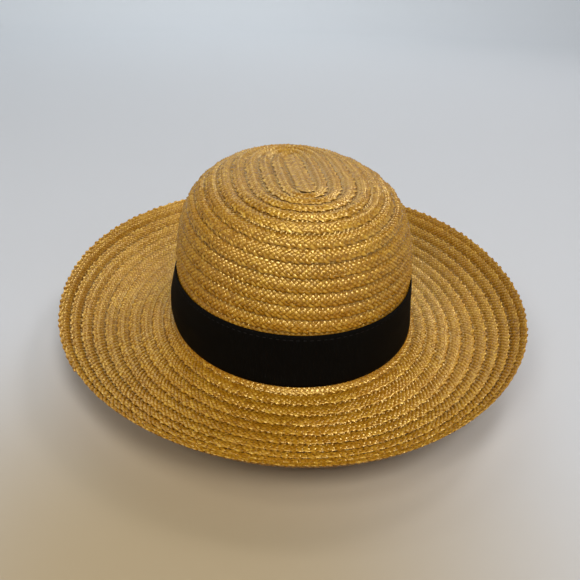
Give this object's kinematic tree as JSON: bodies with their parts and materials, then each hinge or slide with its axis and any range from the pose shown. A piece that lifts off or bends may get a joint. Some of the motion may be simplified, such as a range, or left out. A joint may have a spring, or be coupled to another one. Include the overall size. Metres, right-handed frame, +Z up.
{
  "type": "straw hat",
  "caption": "Sewn straw braid hat with a rounded oval crown, an upturned brim and a plain black ribbon band.",
  "frame": {"origin": "centre of the bounding box's bottom face, on the surface the hat rests on", "axes": "+Z up through the crown, -Y towards the wearer's front, +X to the right of someone who looks at the hat's front"},
  "size_m": [0.3386, 0.3921, 0.116],
  "materials": {
    "golden_straw": "satin",
    "black_grosgrain": "matte"
  },
  "bodies": {
    "root": {"crown": "golden_straw", "brim": "golden_straw", "hat_band": "black_grosgrain"}
  },
  "joints": []
}
